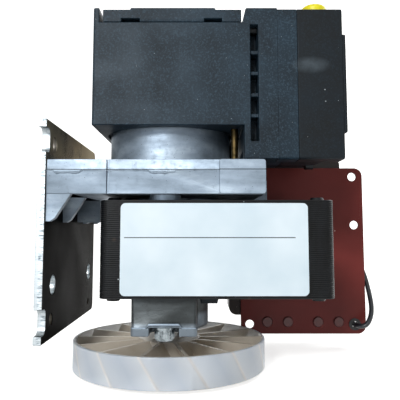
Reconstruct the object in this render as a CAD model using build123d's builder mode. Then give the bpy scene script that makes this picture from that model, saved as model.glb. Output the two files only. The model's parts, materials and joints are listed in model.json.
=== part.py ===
# Diaphragm pump driven by a C-frame shaded-pole motor, hung on a vertical wall plate.
# Origin: centre of the wall plate's outer face. +X runs from the plate into the pump,
# +Y to the back, +Z up along the motor shaft. Millimetres.
import os
from math import cos, pi, radians, sin, tan

from build123d import *

os.makedirs("parts", exist_ok=True)

# Motor axis and the levels along it
axis_x = 45.0
stack_bottom = -24.6
stack_top = 10.8
arm_bottom = 12.9
arm_top = 25.3
head_axis_z = 57.0
shaft_radius = 4.0
fit_gap = 0.03  # radial gap of a fit inside one body
running_gap = 0.08  # radial gap of a running fit
bolt_gap = 0.15  # radial gap round a bolt in a clearance hole

# Wall plate
plate_thickness = 3.0
plate_front = -46.0
plate_back = 44.0
plate_half_height = 40.0
notch_width = 9.0
notch_depth = 5.0
notch_z = 32.5
wall_hole_radius = 3.6
wall_hole_y = 32.5
wall_hole_z = -20.4
wall_screw_y = 30.0
wall_screw_z = 18.6

# Crankcase
arm_right = 81.7
arm_half = 45.2
parting_z = 21.5
cylinder_radius = 26.0
spigot_top = 46.0
chamber_radius = 22.5
lug_right = 92.0

# Lamination stack and coil
stack_left = 21.6
stack_right = 106.8
stack_corner = 3.5
stack_half = 42.0
stator_bore = 17.6
window_left = 69.0
window_half = 26.0
bolt_y = 34.0
core_left = 80.0
core_right = 98.0
core_mid_z = (stack_bottom + stack_top) / 2
core_half = 9.0

# Lower bearing bracket and fan
bracket_left = 33.0
bracket_right = 56.8
bracket_half = 38.0
lip_top = -35.4
lip_bottom = -38.4
hub_radius = 16.5
hub_bottom = -40.4
fan_radius = 40.5
fan_top = -45.2
fan_bottom = -57.0
blade_count = 14
blade_lean = 7.2  # sideways from a blade's top edge to its bottom edge

# Crank mechanism
throw = 2.0
pin_x = axis_x - throw
rod_bottom = 53.2
rod_top = 60.8
rod_end = 83.0

# Pump head, stacked along +X
housing_left = 16.1
housing_half = 32.5
housing_bottom = 40.3
housing_top = 87.0
column_left = 75.2
column_right = 88.0  # face that clamps the diaphragm
seam_x = 88.35  # face where the housing and the intermediate plate meet
column_bottom = 27.2
clamp_right = 88.7
valve_plate_right = 96.1
head_right = 113.8
end_plate_right = 115.1
head_bottom = 27.0
head_top = 86.7
diaphragm_radius = 26.0

# Red plate, box and lead at the back
panel_front = 44.5
panel_back = 46.0
panel_left = 79.0
panel_right = 143.0
panel_bottom = -52.8
panel_top = 32.3
box_left = 73.0
box_right = 131.8
box_bottom = -43.6
box_top = 38.0
box_back = 64.0
lead_radius = 1.2


def disc(radius, start, end, x=axis_x, y=0.0, mode=Mode.ADD):
    """Upright disc between two heights."""
    with BuildSketch(Plane.XY.offset(start)) as circle:
        with Locations((x, y)):
            Circle(radius)
    extrude(circle.sketch, amount=end - start, mode=mode)


def rod_along_x(radius, start, end, y=0.0, z=head_axis_z, mode=Mode.ADD):
    """Disc lying along X between two places."""
    with BuildSketch(Plane.YZ.offset(start)) as circle:
        with Locations((y, z)):
            Circle(radius)
    extrude(circle.sketch, amount=end - start, mode=mode)


def rod_along_y(radius, start, end, x, z, mode=Mode.ADD):
    """Disc lying along Y between two places."""
    with BuildSketch(Plane.XZ.offset(-start)) as circle:
        with Locations((x, z)):
            Circle(radius)
    extrude(circle.sketch, amount=start - end, mode=mode)


def block(low, high, mode=Mode.ADD, corner=0.0):
    """Box between two corners, with its upright edges rounded by corner."""
    middle = ((low[0] + high[0]) / 2, (low[1] + high[1]) / 2)
    with BuildSketch(Plane.XY.offset(low[2])) as outline:
        with Locations(middle):
            if corner:
                RectangleRounded(high[0] - low[0], high[1] - low[1], corner)
            else:
                Rectangle(high[0] - low[0], high[1] - low[1])
    extrude(outline.sketch, amount=high[2] - low[2], mode=mode)


def turned(points):
    """Round piece turned about the head's axis from (place along X, radius) points."""
    with BuildSketch(Plane.XZ) as half_section:
        with BuildLine():
            Polyline(*[(x, head_axis_z + radius) for x, radius in points], close=True)
        make_face()
    revolve(half_section.sketch, axis=Axis((0, 0, head_axis_z), (1, 0, 0)))


def hex_along(plane, radius, height, mode=Mode.ADD):
    """Hexagonal prism standing on a plane."""
    with BuildSketch(plane) as hexagon:
        RegularPolygon(radius, 6)
    extrude(hexagon.sketch, amount=height, mode=mode)


def save(piece, name):
    piece.part.label = name
    export_step(piece.part, f"parts/{name}.step")
    print(f"{name}: {len(piece.part.solids())} solids, {piece.part.volume / 1000:.2f} cm3")


# Wall plate: 3 mm steel, notched on its front edge, countersunk from the wall side
with BuildPart() as wall_plate:
    with BuildSketch(Plane.YZ) as plate_outline:
        with Locations(((plate_front + plate_back) / 2, 0)):
            Rectangle(plate_back - plate_front, 2 * plate_half_height)
        fillet(plate_outline.vertices().group_by(Axis.X)[-1], 3.0)
        with Locations((plate_front, notch_z), (plate_front, -notch_z)):
            RectangleRounded(2 * notch_depth, notch_width, 2.5, mode=Mode.SUBTRACT)
        with Locations((-wall_hole_y, wall_hole_z), (wall_hole_y, wall_hole_z)):
            Circle(wall_hole_radius, mode=Mode.SUBTRACT)
        with Locations((-34, 32.2)):
            Circle(2.95, mode=Mode.SUBTRACT)
        with Locations((-34, -32.9)):
            Circle(2.1, mode=Mode.SUBTRACT)
        with Locations((32, -34.8)):
            Circle(1.5, mode=Mode.SUBTRACT)
    extrude(amount=plate_thickness)
    for side in (-1, 1):
        rod_along_x(2.0 + bolt_gap, 0, plate_thickness, side * wall_screw_y, wall_screw_z, Mode.SUBTRACT)
        with BuildSketch(Plane.YZ) as sink:
            with Locations((side * wall_screw_y, wall_screw_z)):
                Circle(4.2)
        extrude(sink.sketch, amount=2.1, taper=45, mode=Mode.SUBTRACT)
save(wall_plate, "wall_plate")

# Countersunk screws from the wall face into the end of the crankcase arm
with BuildPart() as wall_plate_screws:
    for side in (-1, 1):
        with BuildSketch(Plane.YZ.offset(0.2)) as head:
            with Locations((side * wall_screw_y, wall_screw_z)):
                Circle(3.9)
        extrude(head.sketch, amount=1.9, taper=45)
        rod_along_x(2.0, 1.5, 16, side * wall_screw_y, wall_screw_z)
        socket = Plane(origin=(0.2, side * wall_screw_y, wall_screw_z), z_dir=(1, 0, 0))
        hex_along(socket, 1.45, 1.4, Mode.SUBTRACT)
save(wall_plate_screws, "wall_plate_screws")

# Crankcase: drafted arm on a parting line, gussets, bearing neck and crank cylinder in one casting
gusset = [(plate_thickness, arm_bottom + 1), (12.6, arm_bottom + 1), (6.2, 4.0), (4.6, 3.0), (plate_thickness, 3.0)]
with BuildPart() as crankcase:
    with BuildSketch(Plane.XY.offset(parting_z)) as arm_outline:
        with Locations(((arm_right - 2) / 2, 0)):
            Rectangle(arm_right + 2, 2 * arm_half)
        fillet(arm_outline.vertices().group_by(Axis.X)[-1], 2.0)
    extrude(arm_outline.sketch, amount=arm_top - parting_z, taper=4)
    extrude(arm_outline.sketch, amount=arm_bottom - parting_z, taper=1.5)
    # proud pad at the arm's free end
    with BuildSketch(Plane.XZ.offset(arm_half - 1)) as pad:
        with Locations(((65 + arm_right) / 2, (arm_bottom + arm_top) / 2)):
            RectangleRounded(arm_right - 65, arm_top - arm_bottom, 1.0)
    extrude(pad.sketch, amount=2.0, taper=3)
    # mould flash: a thin seam all round the parting line, thicker in two places on the front
    with BuildSketch(Plane.XY.offset(parting_z)) as seam:
        with Locations(((arm_right - 1.7) / 2, 0)):
            Rectangle(arm_right + 2.3, 2 * arm_half + 0.5)
        fillet(seam.vertices().group_by(Axis.X)[-1], 2.2)
    extrude(seam.sketch, amount=-0.4)
    for flash_left, flash_right in ((5, 16), (39, 50)):
        with BuildSketch(Plane.XZ.offset(arm_half - 0.4)) as flash:
            with BuildLine():
                Polyline(
                    (flash_left, parting_z), (flash_left + 1.5, parting_z - 0.9),
                    (flash_right - 1.5, parting_z - 0.9), (flash_right, parting_z), close=True,
                )
            make_face()
        extrude(flash.sketch, amount=0.75)
    # gussets and the square rib under the wall end
    for gusset_front in (-arm_half + 0.3, -20.5, 17.5, arm_half - 3.3):
        with BuildSketch(Plane.XZ.offset(-gusset_front)) as web:
            with BuildLine():
                Polyline(*gusset, close=True)
            make_face()
        extrude(web.sketch, amount=-3.0)
    block((plate_thickness, 5.5, 3.4), (13.2, 8.5, arm_bottom + 1))
    # crank cylinder above, bearing neck and bolt pads below
    disc(cylinder_radius, arm_top - 1, spigot_top)
    disc(19.2, stack_top, arm_bottom + 1)
    for side in (-1, 1):
        disc(6.0, stack_top, arm_bottom + 1, axis_x, side * bolt_y)
    # rear lug that carries the red plate
    block((70, 36, arm_bottom), (lug_right, panel_front, arm_top - 0.5))
    # relief behind the red plate's edge
    block((panel_left - 0.5, panel_front, arm_bottom - 1), (arm_right + 2, arm_half + 1, arm_top + 1), Mode.SUBTRACT)
    # bearing seat, shaft hole and crank chamber
    disc(11.0, stack_top, stack_top + 7.2, mode=Mode.SUBTRACT)
    disc(7.0, stack_top, arm_top, mode=Mode.SUBTRACT)
    disc(chamber_radius, arm_top - 1.5, spigot_top, mode=Mode.SUBTRACT)
    # threads for the motor bolts, wall screws, housing studs and red plate screws
    for side in (-1, 1):
        disc(2.0 + fit_gap, stack_top, 22.5, axis_x, side * bolt_y, Mode.SUBTRACT)
        rod_along_x(2.0 + fit_gap, plate_thickness, 18, side * wall_screw_y, wall_screw_z, Mode.SUBTRACT)
        disc(1.45 + fit_gap, 16, arm_top, 72, side * 22, Mode.SUBTRACT)
    for screw_x in (82.8, 89.0):
        rod_along_y(1.5 + fit_gap, panel_front, 36.5, screw_x, 18.6, Mode.SUBTRACT)
    # mould witness groove on the front
    with BuildSketch(Plane.XZ.offset(arm_half + 1)) as groove:
        with Locations((25, (arm_bottom + arm_top) / 2)):
            Rectangle(0.9, 14)
    extrude(groove.sketch, amount=-2.0, mode=Mode.SUBTRACT)
    split(bisect_by=Plane.YZ.offset(plate_thickness), keep=Keep.TOP)
save(crankcase, "crankcase")

# Lamination stack: square C-frame with the rotor bore and a window for the coil
rivet_places = [(26.5, -37.5), (26.5, 37.5), (101.3, -37.5), (101.3, 37.5)]
ring_radius = 21.5  # of the shading rings' bars round the motor axis
ring_angles = (20, 52, 200, 232)
shading_bars = [
    (axis_x + ring_radius * cos(radians(angle)), ring_radius * sin(radians(angle))) for angle in ring_angles
]
with BuildPart() as stator_stack:
    with BuildSketch(Plane.XY.offset(stack_bottom)) as lamination:
        with Locations(((stack_left + stack_right) / 2, 0)):
            RectangleRounded(stack_right - stack_left, 2 * stack_half, stack_corner)
        with Locations((axis_x, 0)):
            Circle(stator_bore, mode=Mode.SUBTRACT)
        with Locations(((window_left + stack_right + 2) / 2, 0)):
            Rectangle(stack_right + 2 - window_left, 2 * window_half, mode=Mode.SUBTRACT)
        with Locations((axis_x, -bolt_y), (axis_x, bolt_y)):
            Circle(2.0 + bolt_gap, mode=Mode.SUBTRACT)
        with Locations(*rivet_places):
            Circle(1.75 + fit_gap, mode=Mode.SUBTRACT)
        with Locations(*shading_bars):
            Rectangle(2.3, 2.3, mode=Mode.SUBTRACT)
    extrude(amount=stack_top - stack_bottom)
save(stator_stack, "stator_stack")

with BuildPart() as stack_rivets:
    for rivet_x, rivet_y in rivet_places:
        disc(1.75, stack_bottom - 0.5, stack_top + 0.5, rivet_x, rivet_y)
        for start, end in ((stack_top, stack_top + 1.0), (stack_bottom, stack_bottom - 1.0)):
            with BuildSketch(Plane.XY.offset(start)) as rivet_head:
                with Locations((rivet_x, rivet_y)):
                    Circle(2.7)
            extrude(rivet_head.sketch, amount=end - start, taper=25)
save(stack_rivets, "stack_rivets")

# Copper shading rings: two bars through the pack, joined above and below it
with BuildPart() as shading_rings:
    for first, second in (shading_bars[0:2], shading_bars[2:4]):
        for bar_x, bar_y in (first, second):
            block((bar_x - 1, bar_y - 1, stack_bottom), (bar_x + 1, bar_y + 1, stack_top))
        for level in (stack_top, stack_bottom - 1.4):
            with BuildSketch(Plane.XY.offset(level)) as bridge:
                middle = ((first[0] + second[0]) / 2, (first[1] + second[1]) / 2)
                SlotCenterPoint(middle, second, 2.4)
            extrude(bridge.sketch, amount=1.4)
save(shading_rings, "shading_rings")

# Coil: straight laminated core between the pack's arms, bobbin and winding round it
with BuildPart() as coil_core:
    block((core_left, -window_half, core_mid_z - core_half), (core_right, window_half, core_mid_z + core_half))
save(coil_core, "coil_core")

core_plane = Plane.XZ.offset(-(window_half - 0.2))
core_middle = ((core_left + core_right) / 2, core_mid_z)
coil_length = 2 * (window_half - 0.2)
with BuildPart() as coil_bobbin:
    with BuildSketch(core_plane) as sleeve:
        with Locations(core_middle):
            RectangleRounded(20.6, 20.6, 1.0)
    extrude(sleeve.sketch, amount=coil_length)
    for flange_start in (0, coil_length - 1.5):
        with BuildSketch(core_plane.offset(flange_start)) as flange:
            with Locations(core_middle):
                RectangleRounded(33.2, 33.2, 2.0)
        extrude(flange.sketch, amount=1.5)
    with BuildSketch(core_plane) as sleeve_bore:
        with Locations(core_middle):
            Rectangle(18.1, 18.1)
    extrude(sleeve_bore.sketch, amount=coil_length, mode=Mode.SUBTRACT)
save(coil_bobbin, "coil_bobbin")

with BuildPart() as coil_winding:
    with BuildSketch(core_plane.offset(1.6)) as turns:
        with Locations(core_middle):
            RectangleRounded(31.4, 31.4, 4.5)
            RectangleRounded(20.7, 20.7, 1.0, mode=Mode.SUBTRACT)
    extrude(turns.sketch, amount=coil_length - 3.2)
save(coil_winding, "coil_winding")

# Rating label on the front of the pack, left bare
with BuildPart() as rating_label:
    with BuildSketch(Plane.XZ.offset(stack_half)) as label_face:
        with Locations((63.2, -6.9)):
            RectangleRounded(67.6, 33.1, 1.8)
    extrude(label_face.sketch, amount=0.25)
save(rating_label, "rating_label")

# Small black clip for the coil's wires under the pack
with BuildPart() as wire_clip:
    with BuildSketch(Plane.XY.offset(stack_bottom)) as clip_foot:
        with Locations((61.5, -30)):
            RectangleRounded(7.6, 5.0, 1.0)
    extrude(clip_foot.sketch, amount=-2.8, taper=14)
save(wire_clip, "wire_clip")

# Lower bearing bracket: bar across the pack with a hub, and a notched lip for the bolt heads
with BuildPart() as lower_bearing_bracket:
    with BuildSketch(Plane.XY.offset(stack_bottom)) as bar:
        with Locations((axis_x, 0)):
            RectangleRounded(bracket_right - bracket_left, 2 * bracket_half, 1.2)
    extrude(bar.sketch, amount=lip_top - stack_bottom)
    with BuildSketch(Plane.XY.offset(lip_top)) as lip:
        with Locations((axis_x, 0)):
            RectangleRounded(bracket_right - bracket_left + 0.4, 2 * bracket_half + 0.8, 1.4)
    extrude(lip.sketch, amount=lip_bottom - lip_top)
    disc(hub_radius, hub_bottom, stack_bottom)
    chamfer(faces().sort_by(Axis.Z)[0].edges(), 0.8)
    disc(11.0, stack_bottom - 8.4, stack_bottom, mode=Mode.SUBTRACT)
    disc(7.0, hub_bottom, stack_bottom, mode=Mode.SUBTRACT)
    for side in (-1, 1):
        # cast bead over the bolt head's notch
        with BuildSketch(Plane.XY.offset(lip_top)) as bead:
            with Locations((axis_x, side * bolt_y)):
                SlotOverall(11.0, 9.4)
        extrude(bead.sketch, amount=1.5)
        disc(2.0 + bolt_gap, hub_bottom, stack_bottom, axis_x, side * bolt_y, Mode.SUBTRACT)
        with BuildSketch(Plane.XY.offset(lip_bottom)) as notch:
            with Locations((axis_x, side * (bolt_y + 5))):
                RectangleRounded(10.8, 20.5, 2.5)
        extrude(notch.sketch, amount=lip_top - lip_bottom, mode=Mode.SUBTRACT)
save(lower_bearing_bracket, "lower_bearing_bracket")

bolt_head_bottom = lip_top - 4.8
with BuildPart() as bracket_bolts:
    for side in (-1, 1):
        disc(2.0, lip_top - 1, 21.5, axis_x, side * bolt_y)
        disc(3.5, bolt_head_bottom, lip_top - 0.8, axis_x, side * bolt_y)
        head_plane = Plane(origin=(axis_x, side * bolt_y, bolt_head_bottom))
        hex_along(head_plane, 1.75, 2.0, Mode.SUBTRACT)
save(bracket_bolts, "bracket_bolts")

with BuildPart() as bolt_washers:
    for side in (-1, 1):
        disc(4.15, lip_top - 0.8, lip_top, axis_x, side * bolt_y)
        disc(2.0 + fit_gap, lip_top - 0.8, lip_top, axis_x, side * bolt_y, Mode.SUBTRACT)
save(bolt_washers, "bolt_washers")

# Rotating group: shaft, rotor, fan
shaft_bottom = -56.0
shaft_top = 53.0
with BuildPart() as motor_shaft:
    disc(shaft_radius, shaft_bottom, shaft_top)
    chamfer(edges().filter_by(GeomType.CIRCLE), 0.4)
save(motor_shaft, "motor_shaft")

with BuildPart() as rotor_core:
    disc(17.0, -20.0, 6.5)
    disc(shaft_radius + fit_gap, -20.0, 6.5, mode=Mode.SUBTRACT)
    for angle in range(0, 360, 20):
        bar_x = axis_x + 14.6 * cos(radians(angle))
        disc(1.25 + fit_gap, -20.0, 6.5, bar_x, 14.6 * sin(radians(angle)), Mode.SUBTRACT)
save(rotor_core, "rotor_core")

with BuildPart() as rotor_cage:
    for start, end in ((-23.5, -20.0), (6.5, 10.0)):
        disc(16.6, start, end)
        disc(11.0, start, end, mode=Mode.SUBTRACT)
    for angle in range(0, 360, 20):
        bar_x = axis_x + 14.6 * cos(radians(angle))
        disc(1.25, -20.5, 7.0, bar_x, 14.6 * sin(radians(angle)))
save(rotor_cage, "rotor_cage")

# Both motor bearings: 8 x 22 x 7 with shields
motor_bearings = [(-32.6, -25.6), (stack_top, stack_top + 7.0)]
with BuildPart() as bearing_outer_rings:
    for start, end in motor_bearings:
        disc(11.0 - fit_gap, start, end)
        disc(9.2, start, end, mode=Mode.SUBTRACT)
        for shield in (start + 0.3, end - 0.7):
            disc(9.4, shield, shield + 0.4)
        disc(6.3, start, end, mode=Mode.SUBTRACT)
save(bearing_outer_rings, "bearing_outer_rings")

with BuildPart() as bearing_inner_rings:
    for start, end in motor_bearings:
        disc(6.2, start, end)
        disc(shaft_radius + fit_gap, start, end, mode=Mode.SUBTRACT)
save(bearing_inner_rings, "bearing_inner_rings")

# Ring fan: hub cup, pitched blades and an outer ring
hub_outer = 13.0
ring_inner = fan_radius - 1.3
blade_thickness = 1.3


with BuildPart() as fan_wheel:
    disc(fan_radius, fan_bottom, fan_top)
    disc(ring_inner, fan_bottom, fan_top, mode=Mode.SUBTRACT)
    disc(hub_outer, fan_bottom + 0.3, fan_top - 0.3)
    with BuildPart(mode=Mode.PRIVATE) as blade:
        # flat blade whose slanted section runs straight out from the hub into the ring
        with BuildSketch(Plane(origin=(axis_x, -8, 0), x_dir=(1, 0, 0), z_dir=(0, -1, 0))):
            with BuildLine():
                Polyline(
                    (-blade_thickness / 2, fan_top - 0.3),
                    (blade_thickness / 2, fan_top - 0.3),
                    (blade_lean + blade_thickness / 2, fan_bottom + 0.3),
                    (blade_lean - blade_thickness / 2, fan_bottom + 0.3),
                    close=True,
                )
            make_face()
        extrude(amount=ring_inner - 7.4)
    for number in range(blade_count):
        add(blade.part.rotate(Axis((axis_x, 0, 0), (0, 0, 1)), number * 360 / blade_count))
    disc(fan_radius, fan_bottom, fan_top, mode=Mode.INTERSECT)
    fillet(edges().filter_by(GeomType.CIRCLE).filter_by(lambda edge: edge.radius == fan_radius), 0.5)
    disc(hub_outer - 1.5, fan_bottom, fan_top - 2.3, mode=Mode.SUBTRACT)
    disc(6.5, fan_bottom + 2.0, fan_top)
    disc(shaft_radius + fit_gap, fan_bottom, fan_top, mode=Mode.SUBTRACT)
save(fan_wheel, "fan_wheel")

with BuildPart() as fan_clip:
    disc(6.0, shaft_bottom + 0.3, fan_bottom + 2.0)
    disc(shaft_radius + fit_gap, shaft_bottom + 0.3, fan_bottom + 2.0, mode=Mode.SUBTRACT)
save(fan_clip, "fan_clip")

# Eccentric: hub on the shaft, crank pin on one side, counterweight on the other
with BuildPart() as eccentric:
    disc(8.0, 47.5, 52.6)
    with BuildSketch(Plane.XY.offset(47.5)) as weight:
        with Locations((axis_x, 0)):
            Circle(19.0)
        with Locations((axis_x - 19 + 3, 0)):
            Rectangle(38, 40, mode=Mode.SUBTRACT)
    extrude(weight.sketch, amount=5.1)
    disc(5.0, 52.5, 60.4, pin_x)
    disc(shaft_radius + fit_gap, 47.5, shaft_top, mode=Mode.SUBTRACT)
    disc(1.5 + fit_gap, 54.5, 60.4, pin_x, mode=Mode.SUBTRACT)
    rod_along_x(1.5 + fit_gap, axis_x + 3.5, axis_x + 20, z=50.0, mode=Mode.SUBTRACT)
save(eccentric, "eccentric")

with BuildPart() as eccentric_set_screw:
    rod_along_x(1.5, axis_x + shaft_radius + 0.05, axis_x + 11, z=50.0)
    hex_along(Plane(origin=(axis_x + 11, 0, 50.0), z_dir=(-1, 0, 0)), 0.85, 1.5, Mode.SUBTRACT)
save(eccentric_set_screw, "eccentric_set_screw")

with BuildPart() as crank_screw:
    disc(1.5, 55.0, 61.6, pin_x)
    disc(2.75, 61.4, 63.6, pin_x)
    hex_along(Plane(origin=(pin_x, 0, 63.6)), 1.4, -1.3, Mode.SUBTRACT)
save(crank_screw, "crank_screw")

with BuildPart() as crank_washer:
    disc(6.4, 60.4, 61.4, pin_x)
    disc(1.5 + fit_gap, 60.4, 61.4, pin_x, mode=Mode.SUBTRACT)
save(crank_washer, "crank_washer")

# Crank pin bearing: 10 x 22 x 6, its inner ring on the pin and its outer ring in the rod
with BuildPart() as rod_bearing_inner_ring:
    disc(6.8, 54.2, 60.2, pin_x)
    disc(5.0 + fit_gap, 54.2, 60.2, pin_x, mode=Mode.SUBTRACT)
save(rod_bearing_inner_ring, "rod_bearing_inner_ring")

with BuildPart() as rod_bearing_outer_ring:
    disc(11.0 - fit_gap, 54.2, 60.2, pin_x)
    disc(9.2, 54.2, 60.2, pin_x, mode=Mode.SUBTRACT)
    for shield in (54.4, 59.6):
        disc(9.4, shield, shield + 0.4, pin_x)
    disc(6.8 + running_gap, 54.2, 60.2, pin_x, mode=Mode.SUBTRACT)
save(rod_bearing_outer_ring, "rod_bearing_outer_ring")

# Connecting rod: big end round the bearing, waisted shank, round small end for the diaphragm
with BuildPart() as connecting_rod:
    disc(14.5, rod_bottom, rod_top, pin_x)
    with BuildSketch(Plane.XY.offset(rod_bottom + 0.8)) as shank:
        with BuildLine():
            Polyline(
                (pin_x + 9, -9), (pin_x + 20, -5), (rod_end - 3, -5),
                (rod_end - 3, 5), (pin_x + 20, 5), (pin_x + 9, 9), close=True,
            )
        make_face()
    extrude(shank.sketch, amount=rod_top - rod_bottom - 1.6)
    rod_along_x(8.0, rod_end - 3.5, rod_end)
    disc(11.0, rod_bottom, rod_top, pin_x, mode=Mode.SUBTRACT)
    rod_along_x(2.0 + fit_gap, rod_end - 16, rod_end, mode=Mode.SUBTRACT)
save(connecting_rod, "connecting_rod")

# Diaphragm clamped between two discs on the rod's end and round its rim in the head
support_right = rod_end + 2.0
centre_right = support_right + 1.5
clamp_disc_right = centre_right + 2.4


with BuildPart() as support_disc:
    turned([
        (rod_end, 2.1), (rod_end, 8.5), (rod_end + 0.8, 11.5), (support_right, 11.5), (support_right, 2.1),
    ])
save(support_disc, "support_disc")

with BuildPart() as diaphragm:
    turned([
        (support_right, 2.1), (support_right, 12.0), (85.6, 14.0), (86.9, 18.0), (column_right, 20.4),
        (column_right, diaphragm_radius), (clamp_right, diaphragm_radius), (clamp_right, 19.8),
        (87.9, 17.3), (86.7, 13.6), (centre_right, 12.0), (centre_right, 2.1),
    ])
save(diaphragm, "diaphragm")

with BuildPart() as clamp_disc:
    turned([
        (centre_right, 2.1), (centre_right, 11.0), (centre_right + 1.2, 11.0), (clamp_disc_right, 9.8),
        (clamp_disc_right, 4.2), (clamp_disc_right - 2.1, 2.1),
    ])
save(clamp_disc, "clamp_disc")

with BuildPart() as diaphragm_screw:
    turned([
        (rod_end - 15, 0), (rod_end - 15, 2.0), (clamp_disc_right - 2.1, 2.0),
        (clamp_disc_right - 0.2, 3.9), (clamp_disc_right - 0.2, 0),
    ])
    hex_along(Plane(origin=(clamp_disc_right - 0.2, 0, head_axis_z), z_dir=(-1, 0, 0)), 1.5, 1.4, Mode.SUBTRACT)
save(diaphragm_screw, "diaphragm_screw")

# Head housing: one black moulding with the crank chamber, filter pocket and slotted column
ledge_z = 81.2
with BuildPart() as head_housing:
    with BuildSketch(Plane.XZ.offset(-housing_half)) as side_outline:
        with BuildLine():
            Polyline(
                (housing_left, housing_bottom), (column_left, housing_bottom), (column_left, column_bottom),
                (seam_x, column_bottom), (seam_x, housing_top), (column_left + 0.8, housing_top),
                (column_left - 0.6, ledge_z), (housing_left + 2.4, ledge_z),
                (housing_left + 2.4, housing_top), (housing_left, housing_top), close=True,
            )
        make_face()
    extrude(side_outline.sketch, amount=2 * housing_half)
    fillet(edges().filter_by(Axis.Z).filter_by_position(Axis.X, housing_left - 0.1, housing_left + 0.1), 1.2)
    # raised underside behind the column's front lip
    block((column_left - 1, -22.5, column_bottom), (seam_x, housing_half + 1, column_bottom + 4), Mode.SUBTRACT)
    # seat on the crank cylinder, crank chamber, rod tunnel and the space behind the diaphragm
    disc(27.4, housing_bottom, housing_bottom + 2.2, mode=Mode.SUBTRACT)
    disc(cylinder_radius + fit_gap, housing_bottom, spigot_top, mode=Mode.SUBTRACT)
    disc(23.0, spigot_top - 0.1, 66.0, mode=Mode.SUBTRACT)
    rod_along_x(13.5, axis_x + 10, column_right, z=53.5, mode=Mode.SUBTRACT)
    rod_along_x(16.0, column_left - 1, column_right, mode=Mode.SUBTRACT)
    rod_along_x(20.4, column_right - 7.5, column_right, mode=Mode.SUBTRACT)
    rod_along_x(diaphragm_radius + 0.1, column_right, seam_x, mode=Mode.SUBTRACT)
    # filter pocket and the duct from it to the inlet valve
    block((22.0, -28.0, 68.5), (72.0, 28.0, ledge_z), Mode.SUBTRACT, corner=2.0)
    rod_along_x(2.5, 71, seam_x, 12, 79.0 - 2.2, Mode.SUBTRACT)
    # ladder in the column's front and back faces: one deep slot with four rungs set back in it
    for face in (-1, 1):
        wall = face * housing_half
        floor = wall - face * 9
        block((77.7, min(wall, floor), 34.0), (80.8, max(wall, floor), 80.2), Mode.SUBTRACT)
        rung_face = wall - face * 1.6
        for rung_z in (43.5, 51.7, 60.3, 68.7):
            block((77.6, min(rung_face, floor - face), rung_z), (80.9, max(rung_face, floor - face), rung_z + 1.5))
        disc(1.45 + fit_gap, housing_bottom, 52, 72, face * 22, Mode.SUBTRACT)
        for screw_z in (33.0, 80.0):
            rod_along_x(2.0 + fit_gap, 76, seam_x, face * 26.5, screw_z, Mode.SUBTRACT)
save(head_housing, "head_housing")

# Brass studs from the crankcase arm up into the housing
with BuildPart() as housing_studs:
    for side in (-1, 1):
        disc(1.45, 16.5, 51, 72, side * 22)
save(housing_studs, "housing_studs")

# Filter lid: shallow cap with a raised strip, air windows on its lower edge and a skirt in the pocket
lid_left = 19.9
lid_right = 74.3
lid_bottom = ledge_z + 0.1
with BuildPart() as filter_lid:
    block((lid_left, -housing_half, lid_bottom), (lid_right, housing_half, 86.3))
    block((30.7, -housing_half, 86.3), (64.0, housing_half, 87.0))
    block((22.4, -27.6, 77.5), (71.6, 27.6, lid_bottom), corner=1.6)
    block((24.2, -25.8, 77.5), (69.8, 25.8, 84.0), Mode.SUBTRACT, corner=1.0)
    for window_left_edge, window_right_edge in ((27.1, 34.4), (59.7, 66.7)):
        for wall in (-1, 1):
            low_y = min(wall * (housing_half + 1), wall * 25)
            high_y = max(wall * (housing_half + 1), wall * 25)
            block((window_left_edge, low_y, lid_bottom), (window_right_edge, high_y, 82.7), Mode.SUBTRACT)
save(filter_lid, "filter_lid")

with BuildPart() as filter_pad:
    block((22.6, -27.4, 68.5), (71.4, 27.4, 76.8), corner=1.6)
save(filter_pad, "filter_pad")

# Pump head plates, one behind the other along +X
head_screw_places = [(side * 26.5, screw_z) for side in (-1, 1) for screw_z in (33.0, 80.0)]
valve_y = 10.0
duct_place = (12.0, 76.8)


def head_block(left, right):
    """Square plate of the pump head with its underside raised behind a front lip."""
    with BuildSketch(Plane.YZ.offset(left)) as face:
        with Locations((0, (head_bottom + head_top) / 2)):
            RectangleRounded(2 * housing_half, head_top - head_bottom, 1.2)
    extrude(face.sketch, amount=right - left)
    block((left - 1, -22.5, head_bottom - 1), (right + 1, housing_half + 1, head_bottom + 4.2), Mode.SUBTRACT)


with BuildPart() as intermediate_plate:
    head_block(seam_x, valve_plate_right)
    rod_along_x(diaphragm_radius + 0.1, seam_x, clamp_right, mode=Mode.SUBTRACT)
    rod_along_x(18.0, clamp_right, clamp_right + 4.6, mode=Mode.SUBTRACT)
    rod_along_x(5.7, clamp_right + 4.6, clamp_right + 5.5, valve_y, mode=Mode.SUBTRACT)
    for side in (-1, 1):
        for angle in (0, 120, 240):
            hole_y = side * valve_y + 3.2 * cos(radians(angle))
            hole_z = head_axis_z + 3.2 * sin(radians(angle))
            rod_along_x(1.1, clamp_right, valve_plate_right, hole_y, hole_z, Mode.SUBTRACT)
    rod_along_x(2.5, seam_x, valve_plate_right, *duct_place, Mode.SUBTRACT)
    for screw_y, screw_z in head_screw_places:
        rod_along_x(2.0 + bolt_gap, seam_x, valve_plate_right, screw_y, screw_z, Mode.SUBTRACT)
save(intermediate_plate, "intermediate_plate")

# Rubber valve discs: the inlet's on the chamber side, the outlet's on the port side
with BuildPart() as valve_discs:
    rod_along_x(5.4, clamp_right + 4.65, clamp_right + 5.45, valve_y)
    rod_along_x(5.4, valve_plate_right, valve_plate_right + 0.9, -valve_y)
save(valve_discs, "valve_discs")

with BuildPart() as head_seal:
    rod_along_x(20.5, valve_plate_right, valve_plate_right + 0.8)
    rod_along_x(18.6, valve_plate_right, valve_plate_right + 0.8, mode=Mode.SUBTRACT)
save(head_seal, "head_seal")

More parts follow.
